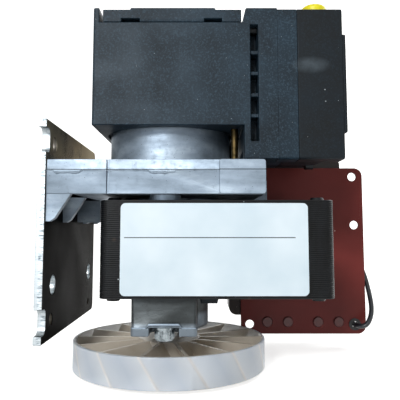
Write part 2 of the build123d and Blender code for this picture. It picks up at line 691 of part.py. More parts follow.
port_x = 107.6
port_y = -10.0
port_radius = 4.3
with BuildPart() as head_plate:
    head_block(valve_plate_right, head_right)
    # inlet and outlet chambers either side of a wall
    with BuildSketch(Plane.YZ.offset(valve_plate_right)) as chambers:
        with Locations((0, head_axis_z)):
            Circle(17.5)
            Rectangle(3.0, 40, mode=Mode.SUBTRACT)
    extrude(chambers.sketch, amount=10.5, mode=Mode.SUBTRACT)
    rod_along_x(20.7, valve_plate_right, valve_plate_right + 0.9, mode=Mode.SUBTRACT)
    rod_along_x(18.4, valve_plate_right, valve_plate_right + 0.9)
    extrude(chambers.sketch, amount=1.0, mode=Mode.SUBTRACT)
    # channel from the housing's duct into the inlet chamber
    with BuildSketch(Plane.YZ.offset(valve_plate_right + 1.5)) as channel:
        with Locations((duct_place[0], 72)):
            Rectangle(5, 9.6)
    extrude(channel.sketch, amount=6, mode=Mode.SUBTRACT)
    rod_along_x(2.5, valve_plate_right, valve_plate_right + 7.5, *duct_place, Mode.SUBTRACT)
    # threaded port upwards from the outlet chamber
    disc(port_radius, head_axis_z, head_top, port_x, port_y, Mode.SUBTRACT)
    for screw_y, screw_z in head_screw_places:
        rod_along_x(2.0 + bolt_gap, valve_plate_right, head_right, screw_y, screw_z, Mode.SUBTRACT)
        rod_along_x(3.7, head_right - 4.2, head_right, screw_y, screw_z, Mode.SUBTRACT)
save(head_plate, "head_plate")

end_plate_bottom = 37.4
end_plate_top = 76.4
with BuildPart() as head_end_plate:
    with BuildSketch(Plane.YZ.offset(head_right)) as cover_face:
        with Locations((0, (end_plate_bottom + end_plate_top) / 2)):
            RectangleRounded(2 * housing_half - 0.4, end_plate_top - end_plate_bottom, 0.8)
    extrude(cover_face.sketch, amount=end_plate_right - head_right)
    chamfer(faces().sort_by(Axis.X)[-1].edges(), 0.3)
save(head_end_plate, "head_end_plate")

with BuildPart() as head_screws:
    for screw_y, screw_z in head_screw_places:
        rod_along_x(2.0, 78, head_right - 4.0, screw_y, screw_z)
        rod_along_x(3.5, head_right - 4.2, head_right - 0.4, screw_y, screw_z)
        socket = Plane(origin=(head_right - 0.4, screw_y, screw_z), z_dir=(-1, 0, 0))
        hex_along(socket, 1.75, 2.0, Mode.SUBTRACT)
save(head_screws, "head_screws")

# Yellow push-in plug that closes the port in transport
with BuildPart() as port_plug:
    disc(6.2, head_top + 0.05, head_top + 1.8, port_x, port_y)
    with BuildSketch(Plane.XY.offset(head_top + 1.8)) as cap_foot:
        with Locations((port_x, port_y)):
            Circle(5.6)
    extrude(cap_foot.sketch, amount=8.0, taper=2)
    fillet(faces().sort_by(Axis.Z)[-1].edges(), 1.6)
    disc(port_radius - running_gap, head_top - 11, head_top + 0.1, port_x, port_y)
    chamfer(faces().sort_by(Axis.Z)[0].edges(), 0.8)
save(port_plug, "port_plug")

# Red mounting plate on the crankcase's rear lug
corner_inset = 5.3
panel_screw_places = [(82.8, 18.6), (89.0, 18.6)]
panel_holes = [(137.7, 27.7), (138.2, 2.5), (83.5, -48.0), (137.2, -48.0)]
box_rivet_places = [(92.5, -46.8), (103.1, -46.8), (118.5, -46.8), (129.0, -46.8)]
with BuildPart() as mounting_plate:
    with BuildSketch(Plane.XZ.offset(-panel_back)) as panel_outline:
        with Locations(((panel_left + panel_right) / 2, (panel_bottom + panel_top) / 2)):
            RectangleRounded(panel_right - panel_left, panel_top - panel_bottom, 4.2)
        with Locations(*panel_holes):
            Circle(2.2, mode=Mode.SUBTRACT)
        with Locations(*box_rivet_places):
            Circle(1.6 + fit_gap, mode=Mode.SUBTRACT)
    extrude(panel_outline.sketch, amount=panel_back - panel_front)
    for screw_x, screw_z in panel_screw_places:
        rod_along_y(1.5 + bolt_gap, panel_front, panel_back, screw_x, screw_z, Mode.SUBTRACT)
        with BuildSketch(Plane.XZ.offset(-panel_back)) as sink:
            with Locations((screw_x, screw_z)):
                Circle(2.8)
        extrude(sink.sketch, amount=1.1, taper=45, mode=Mode.SUBTRACT)
save(mounting_plate, "mounting_plate")

with BuildPart() as plate_screws:
    for screw_x, screw_z in panel_screw_places:
        rod_along_y(1.5, 37.5, panel_back - 0.5, screw_x, screw_z)
        with BuildSketch(Plane.XZ.offset(-(panel_back - 0.1))) as head:
            with Locations((screw_x, screw_z)):
                Circle(2.6)
        extrude(head.sketch, amount=1.0, taper=45)
save(plate_screws, "plate_screws")

with BuildPart() as box_rivets:
    for rivet_x, rivet_z in box_rivet_places:
        rod_along_y(1.6, panel_front - 0.1, panel_back + 2.2, rivet_x, rivet_z)
        with BuildSketch(Plane.XZ.offset(-panel_front)) as head:
            with Locations((rivet_x, rivet_z)):
                Circle(2.8)
        extrude(head.sketch, amount=0.9, taper=30)
        rod_along_y(2.4, panel_back + 1.5, panel_back + 2.2, rivet_x, rivet_z)
save(box_rivets, "box_rivets")

# Terminal box behind the red plate: base with a riveted foot, back cover, terminal block
cover_front = 60.0
box_wall = 2.0
gland_start = (box_right, 55.0, -12.0)
gland_end = (124.0, 55.0, box_bottom)
box_middle = ((box_left + box_right) / 2, (box_bottom + box_top) / 2)
with BuildPart() as terminal_box:
    with BuildSketch(Plane.XZ.offset(-panel_back)) as box_outline:
        with Locations(box_middle):
            RectangleRounded(box_right - box_left, box_top - box_bottom, 4.0)
    extrude(box_outline.sketch, amount=panel_back - cover_front)
    with BuildSketch(Plane.XZ.offset(-(panel_back + box_wall))) as hollow:
        with Locations(box_middle):
            RectangleRounded(box_right - box_left - 2 * box_wall, box_top - box_bottom - 2 * box_wall, 2.5)
    extrude(hollow.sketch, amount=panel_back + box_wall - cover_front, mode=Mode.SUBTRACT)
    block((87.0, panel_back, -50.5), (133.6, panel_back + 1.5, box_bottom + 1), corner=0)
    for rivet_x, rivet_z in box_rivet_places:
        rod_along_y(1.6 + fit_gap, panel_back, panel_back + 1.5, rivet_x, rivet_z, Mode.SUBTRACT)
    rod_along_x(1.8, box_right - box_wall, box_right, gland_start[1], gland_start[2], Mode.SUBTRACT)
    disc(1.8, box_bottom, box_bottom + box_wall, gland_end[0], gland_end[1], Mode.SUBTRACT)
save(terminal_box, "terminal_box")

with BuildPart() as terminal_box_cover:
    with BuildSketch(Plane.XZ.offset(-cover_front)) as cover_outline:
        with Locations(box_middle):
            RectangleRounded(box_right - box_left, box_top - box_bottom, 4.0)
    extrude(cover_outline.sketch, amount=cover_front - box_back)
    fillet(faces().sort_by(Axis.Y)[-1].edges(), 1.5)
    with BuildSketch(Plane.XZ.offset(-cover_front)) as cover_hollow:
        with Locations(box_middle):
            RectangleRounded(box_right - box_left - 4, box_top - box_bottom - 4, 2.5)
    extrude(cover_hollow.sketch, amount=-2.0, mode=Mode.SUBTRACT)
save(terminal_box_cover, "terminal_box_cover")

with BuildPart() as terminal_block:
    block((88.0, panel_back + box_wall, -2.0), (116.0, 57.0, 12.0))
    for pole in range(3):
        pole_x = 92.5 + 9.5 * pole
        rod_along_y(2.6, 54.0, 57.0, pole_x, 7.5, Mode.SUBTRACT)
        disc(1.8, -2.0, 6.0, pole_x, 52.5, Mode.SUBTRACT)
save(terminal_block, "terminal_block")

# Glands where the lead leaves the box, and the grommet in the plate's corner hole
with BuildPart() as lead_glands:
    with BuildSketch(Plane.YZ.offset(box_right)) as side_gland:
        with Locations((gland_start[1], gland_start[2])):
            Circle(2.9)
    extrude(side_gland.sketch, amount=3.5, taper=10)
    rod_along_x(1.8 - fit_gap, box_right - box_wall, box_right + 0.5, gland_start[1], gland_start[2])
    rod_along_x(lead_radius, box_right - box_wall, box_right + 4, gland_start[1], gland_start[2], Mode.SUBTRACT)
    with BuildSketch(Plane.XY.offset(box_bottom)) as foot_gland:
        with Locations((gland_end[0], gland_end[1])):
            Circle(2.9)
    extrude(foot_gland.sketch, amount=-3.5, taper=10)
    disc(1.8 - fit_gap, box_bottom - 0.5, box_bottom + box_wall, gland_end[0], gland_end[1])
    disc(lead_radius, box_bottom - 4, box_bottom + box_wall, gland_end[0], gland_end[1], Mode.SUBTRACT)
save(lead_glands, "lead_glands")

grommet_x, grommet_z = panel_holes[3]
with BuildPart() as lead_grommet:
    rod_along_y(2.2 - fit_gap, panel_front, panel_back, grommet_x, grommet_z)
    rod_along_y(3.0, panel_front - 0.7, panel_front, grommet_x, grommet_z)
    rod_along_y(3.0, panel_back, panel_back + 0.7, grommet_x, grommet_z)
    rod_along_y(lead_radius + 0.3, panel_front - 1, panel_back + 1, grommet_x, grommet_z, Mode.SUBTRACT)
save(lead_grommet, "lead_grommet")

# Lead: out of the box's side, round the plate's edge, back through its corner hole, into the box's foot
lead_route = [
    (box_right - box_wall, 55.0, -12.0),
    (139.0, 55.0, -12.0),
    (144.0, 51.5, -20.5),
    (145.4, 46.3, -31.0),
    (145.2, 40.4, -41.0),
    (141.4, 37.2, -47.6),
    (137.3, 39.4, -48.1),
    (137.2, 46.0, -47.9),
    (136.6, 52.4, -48.8),
    (130.4, 55.6, -52.2),
    (124.0, 55.0, -49.4),
    (124.0, 55.0, box_bottom + box_wall),
]
runs = [Vector(*end) - Vector(*start) for start, end in zip(lead_route, lead_route[1:])]
lead_radii = []
for before, after in zip(runs, runs[1:]):
    half_turn = radians(before.get_angle(after)) / 2
    lead_radii.append(0.45 * min(before.length, after.length) / tan(half_turn))
print("lead runs", [round(run.length, 1) for run in runs])
print("lead turns", [round(before.get_angle(after)) for before, after in zip(runs, runs[1:])])
print("lead radii", [round(radius, 1) for radius in lead_radii])
with BuildPart() as lead:
    with BuildLine() as lead_path:
        FilletPolyline(*lead_route, radius=lead_radii)
    with BuildSketch(Plane(origin=lead_route[0], z_dir=(1, 0, 0))):
        Circle(lead_radius)
    sweep()
save(lead, "lead")
lead_length = lead_path.wires()[0].length
print("lead length", round(lead_length, 1), "volume ratio", lead.part.volume / (pi * lead_radius**2 * lead_length))
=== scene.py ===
import json
import math

import bmesh
import bpy
import numpy as np
from mathutils import Matrix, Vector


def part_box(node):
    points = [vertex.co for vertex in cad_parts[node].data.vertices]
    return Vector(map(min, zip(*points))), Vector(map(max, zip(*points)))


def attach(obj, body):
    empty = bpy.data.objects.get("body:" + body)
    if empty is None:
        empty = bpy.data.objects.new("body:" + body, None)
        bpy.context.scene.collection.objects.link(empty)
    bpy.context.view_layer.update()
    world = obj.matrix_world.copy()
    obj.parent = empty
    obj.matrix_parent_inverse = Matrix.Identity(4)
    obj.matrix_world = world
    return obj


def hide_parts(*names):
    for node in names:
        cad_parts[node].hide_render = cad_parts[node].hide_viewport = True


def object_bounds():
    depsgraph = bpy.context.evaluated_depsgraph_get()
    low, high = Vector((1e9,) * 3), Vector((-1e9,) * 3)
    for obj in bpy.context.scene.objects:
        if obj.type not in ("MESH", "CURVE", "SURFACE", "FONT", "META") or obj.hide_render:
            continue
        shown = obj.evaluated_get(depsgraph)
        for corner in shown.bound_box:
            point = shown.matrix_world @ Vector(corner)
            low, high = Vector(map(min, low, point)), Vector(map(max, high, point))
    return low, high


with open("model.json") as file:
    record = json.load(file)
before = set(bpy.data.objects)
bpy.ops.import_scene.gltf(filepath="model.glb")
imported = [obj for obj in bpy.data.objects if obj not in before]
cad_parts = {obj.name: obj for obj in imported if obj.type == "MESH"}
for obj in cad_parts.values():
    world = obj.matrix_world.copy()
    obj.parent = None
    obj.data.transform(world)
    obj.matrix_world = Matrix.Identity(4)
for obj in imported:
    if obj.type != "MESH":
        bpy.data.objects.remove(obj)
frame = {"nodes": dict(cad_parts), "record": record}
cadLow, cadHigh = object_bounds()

mm = 0.001
shaftX = 45.0
slotOf = {row["node"]: row["material_slot"] for row in frame["record"]["subparts"]}
bodyOf = {node: body for body, nodes in frame["record"]["behaviour"]["bodies"].items() for node in nodes}
print("frame loaded:", len(frame["nodes"]), "nodes")


# camera: level with the wall plate's middle, tilted up a little, the picture's middle moved down; metres
camera = {"place": (0.05806, -0.237, 0.0), "tilt": 5.5, "lens": 48.5, "shiftDown": 0.055}


def addCamera():
    data = bpy.data.cameras.new("camera")
    data.lens = camera["lens"]
    data.sensor_width = 36.0
    data.shift_y = -camera["shiftDown"]
    data.clip_start = 0.01
    eye = bpy.data.objects.new("camera", data)
    eye.location = camera["place"]
    eye.rotation_euler = (math.radians(90 + camera["tilt"]), 0, 0)
    bpy.context.scene.collection.objects.link(eye)
    bpy.context.scene.camera = eye


addCamera()


# small tools
def linearColor(code):
    # sRGB hex to linear light: each channel over 255, with the sRGB curve undone
    channels = np.array([int(code[i : i + 2], 16) for i in (1, 3, 5)]) / 255
    linear = np.where(channels <= 0.04045, channels / 12.92, ((channels + 0.055) / 1.055) ** 2.4)
    return (*linear.tolist(), 1.0)


def perMm(size):
    # a texture's scale from the size of one feature in millimetres, for coordinates in metres
    return 1000.0 / size


def feed(tree, node, inputs):
    # each input gets a node's first live output, a socket, an sRGB hex colour or a plain number
    for key, value in inputs.items():
        if isinstance(value, bpy.types.Node):
            value = next(output for output in value.outputs if output.enabled)
        if isinstance(value, bpy.types.NodeSocket):
            tree.links.new(value, node.inputs[key])
        else:
            node.inputs[key].default_value = linearColor(value) if isinstance(value, str) else value


def addNode(tree, kind, inputs=(), stops=(), **settings):
    # one node with its settings and inputs, and the (place, hex colour) stops of a colour ramp
    made = tree.nodes.new("ShaderNode" + kind)
    for key, value in settings.items():
        setattr(made, key, value)
    feed(tree, made, dict(inputs))
    for number, (place, code) in enumerate(stops):
        ramp = made.color_ramp.elements
        element = ramp[number] if number < 2 else ramp.new(place)
        element.position = place
        element.color = linearColor(code)
    return made


def newMaterial(name):
    material = bpy.data.materials.new(name)
    material.use_nodes = True
    tree = material.node_tree
    tree.nodes.clear()
    shader = addNode(tree, "BsdfPrincipled")
    addNode(tree, "OutputMaterial", {"Surface": shader})
    place = addNode(tree, "TexCoord").outputs["Object"]
    return material, tree, shader, place


# finishes
polyamide = {
    # the second set of tones is the same polyamide made darker: painted shade, for the head plates, coil
    # bobbin and wire clip
    "housingMoulding": ("#0f1a22", "#1c2d39", "#3c5160"), "headMoulding": ("#04080b", "#09131a", "#1a2831"),
    "grain": 0.62, "flow": 15.0, "relief": 0.05,
    "dust": "#aab5bb", "dustNear": (0.1105, -0.0325, 0.0465), "dustReach": 15.0, "specks": 3.4,
    "speckSize": (0.03, 0.11),
    "rubbed": "#5b666e", "rubbedNear": (0.1012, -0.0325, 0.0640), "rubbedReach": 6.2, "rubbedCore": 1.0,
    "rubbedSquash": (0.75, 1.0, 1.7), "streaks": 4.0,
}


def glassFilledPolyamide(name):
    # glass-filled polyamide from a spark-eroded mould: fine grain, faint flow clouds, specks of white dust
    material, tree, shader, place = newMaterial(name)
    dark, light, grey = polyamide[name]
    clouds = addNode(tree, "TexNoise", {"Vector": place, "Scale": perMm(polyamide["flow"]), "Detail": 4.0})
    grain = addNode(tree, "TexNoise",
                    {"Vector": place, "Scale": perMm(polyamide["grain"]), "Detail": 3.0, "Roughness": 0.65})
    base = addNode(tree, "ValToRGB", {"Fac": clouds}, [(0.32, dark), (0.7, light)])
    glint = addNode(tree, "MapRange", {"Value": grain, "From Min": 0.5, "From Max": 0.75, "To Max": 0.65})
    grained = addNode(tree, "Mix", {0: glint, 6: base, 7: grey}, data_type="RGBA")
    # dust: few specks all over, many close to one corner
    far = addNode(tree, "VectorMath", {0: place, 1: polyamide["dustNear"]},
                  operation="DISTANCE").outputs["Value"]
    near = addNode(tree, "MapRange",
                   {"Value": far, "From Min": polyamide["dustReach"] * mm, "From Max": 0.0})
    cells = addNode(tree, "TexVoronoi", {"Vector": place, "Scale": perMm(polyamide["specks"])})
    fewest, most = polyamide["speckSize"]
    speckSize = addNode(tree, "MapRange", {"Value": near, "To Min": fewest, "To Max": most})
    speck = addNode(tree, "Math", {0: cells, 1: speckSize}, operation="LESS_THAN")
    dusty = addNode(tree, "Mix", {0: speck, 6: grained, 7: polyamide["dust"]}, data_type="RGBA")
    # one place rubbed grey
    fromRub = addNode(tree, "VectorMath", {0: place, 1: polyamide["rubbedNear"]}, operation="SUBTRACT")
    squashed = addNode(tree, "VectorMath", {0: fromRub, 1: polyamide["rubbedSquash"]}, operation="MULTIPLY")
    offRub = addNode(tree, "VectorMath", {0: squashed}, operation="LENGTH").outputs["Value"]
    streaks = addNode(tree, "TexNoise",
                      {"Vector": place, "Scale": perMm(polyamide["streaks"]), "Detail": 3.0})
    reach, core = polyamide["rubbedReach"] * mm, polyamide["rubbedCore"] * mm
    rub = addNode(tree, "MapRange", {"Value": offRub, "From Min": reach, "From Max": core, "To Max": 0.75})
    rub = addNode(tree, "Math", {0: rub, 1: streaks}, operation="MULTIPLY")
    worn = addNode(tree, "Mix", {0: rub, 6: dusty, 7: polyamide["rubbed"]}, data_type="RGBA")
    rough = addNode(tree, "MapRange",
                    {"Value": clouds, "From Min": 0.3, "From Max": 0.7, "To Min": 0.56, "To Max": 0.44})
    relief = addNode(tree, "Bump", {"Height": grain, "Distance": polyamide["relief"] * mm, "Strength": 0.6})
    feed(tree, shader, {"Base Color": worn, "Roughness": rough, "Normal": relief, "IOR": 1.53,
                        "Specular IOR Level": 0.17})
    return material


phenolic = {
    "tones": ("#17100f", "#251c1a"), "clouds": 11.0, "dust": "#8b8580", "specks": 6.0, "skin": 0.8,
    "relief": 0.03,
}


def phenolicMoulding():
    # brown-black phenolic moulding: smooth, a little glossy, thin film of dust
    material, tree, shader, place = newMaterial("phenolicMoulding")
    clouds = addNode(tree, "TexNoise", {"Vector": place, "Scale": perMm(phenolic["clouds"]), "Detail": 4.0})
    dark, light = phenolic["tones"]
    base = addNode(tree, "ValToRGB", {"Fac": clouds}, [(0.3, dark), (0.7, light)])
    cells = addNode(tree, "TexVoronoi", {"Vector": place, "Scale": perMm(phenolic["specks"])})
    speck = addNode(tree, "Math", {0: cells, 1: 0.035}, operation="LESS_THAN")
    dusty = addNode(tree, "Mix", {0: speck, 6: base, 7: phenolic["dust"]}, data_type="RGBA")
    rough = addNode(tree, "MapRange",
                    {"Value": clouds, "From Min": 0.3, "From Max": 0.7, "To Min": 0.38, "To Max": 0.5})
    skin = addNode(tree, "TexNoise", {"Vector": place, "Scale": perMm(phenolic["skin"])})
    relief = addNode(tree, "Bump", {"Height": skin, "Distance": phenolic["relief"] * mm, "Strength": 0.4})
    feed(tree, shader, {"Base Color": dusty, "Roughness": rough, "Normal": relief, "IOR": 1.55,
                        "Specular IOR Level": 0.25})
    return material


# per casting: how strongly the lower edge is painted lighter, a painted highlight; seam: height of a darker
# band along the parting line in metres, and the bracket's is out of reach because it has no parting line
castings = {
    "frameCasting": {
        "tones": ("#6b7884", "#8492a0", "#a3b1be"), "pit": "#3f484f", "rough": (0.42, 0.6),
        "lip": 0.0, "seam": 0.0216,
    },
    # the bracket's tones are far darker than the frame's: painted shade, the stack's shadow painted into the
    # colour
    "bracketCasting": {
        "tones": ("#202324", "#2e3233", "#43484a"), "pit": "#1d1f20", "rough": (0.36, 0.5),
        "lip": 0.3, "seam": 1.0,
    },
}
castSkin = {
    "flow": 10.0, "veins": 2.4, "skin": 0.6, "pits": 1.9, "waves": 0.14, "relief": 0.06, "metal": 0.7,
    "lipTop": -33.5, "lipBottom": -35.2, "bright": "#a3b2c0", "seamHalf": 0.17, "grime": "#3a4248",
}


def dieCastAluminium(name):
    # pressure die casting left as cast: cloudy flow marks, cold-shut veins, pits and a soft sheen
    casting = castings[name]
    material, tree, shader, place = newMaterial(name)
    along = addNode(tree, "Mapping", {"Vector": place, "Scale": (0.45, 1.0, 1.6)})
    flow = addNode(tree, "TexNoise",
                   {"Vector": along, "Scale": perMm(castSkin["flow"]), "Detail": 6.0, "Roughness": 0.55})
    cold = addNode(tree, "TexNoise",
                   {"Vector": place, "Scale": perMm(castSkin["veins"]), "Detail": 5.0, "Roughness": 0.7})
    skin = addNode(tree, "TexNoise",
                   {"Vector": place, "Scale": perMm(castSkin["skin"]), "Detail": 3.0, "Roughness": 0.6})
    low, middle, high = casting["tones"]
    base = addNode(tree, "ValToRGB", {"Fac": flow}, [(0.3, low), (0.72, high), (0.5, middle)])
    vein = addNode(tree, "MapRange", {"Value": cold, "From Min": 0.55, "From Max": 0.8, "To Max": 0.6})
    veined = addNode(tree, "Mix", {0: vein, 6: base, 7: low}, data_type="RGBA")
    height = addNode(tree, "SeparateXYZ", {0: place}).outputs["Z"]
    # the lower edge painted lighter towards its bottom in the bright tone: a painted highlight
    lipTop, lipBottom = castSkin["lipTop"] * mm, castSkin["lipBottom"] * mm
    rubbed = addNode(tree, "MapRange",
                     {"Value": height, "From Min": lipTop, "From Max": lipBottom, "To Max": casting["lip"]})
    veined = addNode(tree, "Mix", {0: rubbed, 6: veined, 7: castSkin["bright"]}, data_type="RGBA")
    # a darker band along the parting line
    grime = addNode(tree, "Math", {0: height, 1: casting["seam"], 2: castSkin["seamHalf"] * mm},
                    operation="COMPARE")
    veined = addNode(tree, "Mix", {0: grime, 6: veined, 7: castSkin["grime"]}, data_type="RGBA")
    cells = addNode(tree, "TexVoronoi", {"Vector": place, "Scale": perMm(castSkin["pits"])})
    pit = addNode(tree, "MapRange", {"Value": cells, "From Min": 0.11, "From Max": 0.06, "To Max": 0.7})
    pitted = addNode(tree, "Mix", {0: pit, 6: veined, 7: casting["pit"]}, data_type="RGBA")
    smooth, coarse = casting["rough"]
    rough = addNode(tree, "MapRange",
                    {"Value": cold, "From Min": 0.3, "From Max": 0.75, "To Min": smooth, "To Max": coarse})
    waves = addNode(tree, "Bump", {"Height": cold, "Distance": castSkin["waves"] * mm, "Strength": 0.5})
    relief = addNode(tree, "Bump",
                     {"Height": skin, "Distance": castSkin["relief"] * mm, "Strength": 0.5,
                      "Normal": waves})
    feed(tree, shader, {"Base Color": pitted, "Roughness": rough, "Normal": relief,
                        "Metallic": castSkin["metal"]})
    return material


steelSheet = {
    "oil": ("#0b0906", "#1a1610", "#332d22"), "dry": "#b0a690", "grazing": "#3b352b", "stains": 22.0,
    "outer": ("#5b574f", "#85817a"), "shear": ("#4a5257", "#8b9499", "#c3cacd"),
    "burnish": 1.1, "torn": 1.5, "tearGrain": 0.9, "tearDepth": 0.12, "rim": 38.5, "boltLevel": -20.4,
    "boltHalf": 4.5,
}


def rolledSteelPlate():
    # cold-rolled plate under a dark brown film, partly an old oily deposit and partly a painted reflection
    # of the black stack, paler above as a painted reflection of the white room; the sheared edge is half
    # burnished and half torn
    material, tree, shader, place = newMaterial("rolledSteelPlate")
    at = addNode(tree, "SeparateXYZ", {0: place}).outputs
    facing = addNode(tree, "SeparateXYZ", {0: addNode(tree, "NewGeometry").outputs["Normal"]}).outputs["X"]
    sideways = addNode(tree, "Math", {0: facing}, operation="ABSOLUTE")
    flat = addNode(tree, "Math", {0: sideways, 1: 0.75}, operation="GREATER_THAN")
    # the walls of the holes take the face colour, darker than the sheared edge: painted shade inside the
    # holes; only the outline is bare
    rim = steelSheet["rim"] * mm
    inward = addNode(tree, "Math", {0: at["Y"], 1: 0.0, 2: rim}, operation="COMPARE")
    level = addNode(tree, "Math", {0: at["Z"], 1: 0.0, 2: rim}, operation="COMPARE")
    inside = addNode(tree, "Math", {0: inward, 1: level}, operation="MULTIPLY")
    boltLevel, boltHalf = steelSheet["boltLevel"] * mm, steelSheet["boltHalf"] * mm
    # the bolt holes' walls keep the pale sheared-edge colour: painted light for the white seen through them
    boltHoles = addNode(tree, "Math", {0: at["Z"], 1: boltLevel, 2: boltHalf}, operation="COMPARE")
    inside = addNode(tree, "Math", {0: inside, 1: boltHoles}, operation="SUBTRACT", use_clamp=True)
    flat = addNode(tree, "Math", {0: flat, 1: inside}, operation="MAXIMUM")
    stain = addNode(tree, "TexNoise",
                    {"Vector": place, "Scale": perMm(steelSheet["stains"]), "Detail": 4.0,
                     "Roughness": 0.5})
    toBack = addNode(tree, "MapRange",
                     {"Value": at["Y"], "From Min": -0.045, "From Max": 0.045, "To Min": -0.28,
                      "To Max": 0.3})
    film = addNode(tree, "Math", {0: stain, 1: toBack}, operation="ADD")
    # the dark film: partly an oily deposit, partly a painted reflection of the black stack
    darkest, middle, pale = steelSheet["oil"]
    oily = addNode(tree, "ValToRGB", {"Fac": film}, [(0.25, darkest), (0.85, pale), (0.55, middle)])
    # paler above: a painted reflection of the white room
    upward = addNode(tree, "MapRange", {"Value": at["Z"], "From Min": 0.012, "From Max": 0.03})
    thick = addNode(tree, "MapRange", {"Value": film, "From Min": 0.0, "From Max": 0.42})
    reflectionAbove = addNode(tree, "Math", {0: upward, 1: thick}, operation="MULTIPLY")
    inner = addNode(tree, "Mix", {0: reflectionAbove, 6: oily, 7: steelSheet["dry"]}, data_type="RGBA")
    bare, wiped = steelSheet["outer"]
    outer = addNode(tree, "ValToRGB", {"Fac": stain}, [(0.3, bare), (0.7, wiped)])
    turnedIn = addNode(tree, "Math", {0: facing, 1: 0.0}, operation="GREATER_THAN")
    face = addNode(tree, "Mix", {0: turnedIn, 6: outer, 7: inner}, data_type="RGBA")
    along = addNode(tree, "Mapping", {"Vector": place, "Scale": (0.3, 0.3, 1.6)})
    bite = addNode(tree, "TexNoise",
                   {"Vector": along, "Scale": perMm(steelSheet["tearGrain"]), "Detail": 3.0,
                    "Roughness": 0.7})
    burnish, tornFrom = steelSheet["burnish"] * mm, steelSheet["torn"] * mm
    torn = addNode(tree, "MapRange",
                   {"Value": at["X"], "From Min": burnish, "From Max": tornFrom, "To Min": 0.15})
    tear = addNode(tree, "Mix", {0: torn, 2: 0.5, 3: bite})
    low, mid, high = steelSheet["shear"]
    edge = addNode(tree, "ValToRGB", {"Fac": tear}, [(0.32, low), (0.56, high), (0.42, mid)])
    color = addNode(tree, "Mix", {0: flat, 6: edge, 7: face}, data_type="RGBA")
    rough = addNode(tree, "MapRange",
                    {"Value": stain, "From Min": 0.3, "From Max": 0.7, "To Min": 0.3, "To Max": 0.45})
    relief = addNode(tree, "Bump",
                     {"Height": tear, "Distance": steelSheet["tearDepth"] * mm, "Strength": 0.5})
    feed(tree, shader, {"Base Color": color, "Roughness": rough, "Normal": relief, "Metallic": 0.85,
                        "Specular Tint": steelSheet["grazing"]})
    return material


zinc = {"tones": ("#596165", "#a2aaae"), "patches": 1.6}


def zincPlate():
    # bright zinc on screw steel: slightly blue, patchy passivation
    material, tree, shader, place = newMaterial("zincPlate")
    patch = addNode(tree, "TexNoise",
                    {"Vector": place, "Scale": perMm(zinc["patches"]), "Detail": 4.0, "Roughness": 0.6})
    dull, bright = zinc["tones"]
    color = addNode(tree, "ValToRGB", {"Fac": patch}, [(0.35, dull), (0.65, bright)])
    rough = addNode(tree, "MapRange",
                    {"Value": patch, "From Min": 0.3, "From Max": 0.7, "To Min": 0.22, "To Max": 0.4})
    feed(tree, shader, {"Base Color": color, "Roughness": rough, "Metallic": 1.0})
    return material


oxide = {"tones": ("#0d0f11", "#2a2e31"), "patches": 1.2}


def blackOxide():
    # black-oxide screw steel: almost black, oily, worn grey in patches
    material, tree, shader, place = newMaterial("blackOxide")
    patch = addNode(tree, "TexNoise", {"Vector": place, "Scale": perMm(oxide["patches"]), "Detail": 4.0})
    oily, worn = oxide["tones"]
    color = addNode(tree, "ValToRGB", {"Fac": patch}, [(0.35, oily), (0.75, worn)])
    rough = addNode(tree, "MapRange",
                    {"Value": patch, "From Min": 0.3, "From Max": 0.7, "To Min": 0.32, "To Max": 0.5})
    feed(tree, shader, {"Base Color": color, "Roughness": rough, "Metallic": 0.8})
    return material


ground = {"tones": ("#8f9090", "#bcbebe"), "rings": 0.35}


def groundSteel():
    # centreless-ground bearing steel: fine rings round the shaft
    material, tree, shader, place = newMaterial("groundSteel")
    along = addNode(tree, "Mapping", {"Vector": place, "Scale": (0.05, 0.05, 1.0)})
    rings = addNode(tree, "TexNoise", {"Vector": along, "Scale": perMm(ground["rings"])})
    dark, light = ground["tones"]
    color = addNode(tree, "ValToRGB", {"Fac": rings}, [(0.3, dark), (0.7, light)])
    rough = addNode(tree, "MapRange",
                    {"Value": rings, "From Min": 0.3, "From Max": 0.7, "To Min": 0.18, "To Max": 0.32})
    feed(tree, shader, {"Base Color": color, "Roughness": rough, "Metallic": 1.0})
    return material


varnish = {
    "tones": ("#050607", "#0d1013"), "runs": 3.2, "brown": "#3a3029", "spots": 11.0, "dust": "#aeb6ba",
    "specks": 5.0, "drops": 0.9, "relief": 0.06,
}


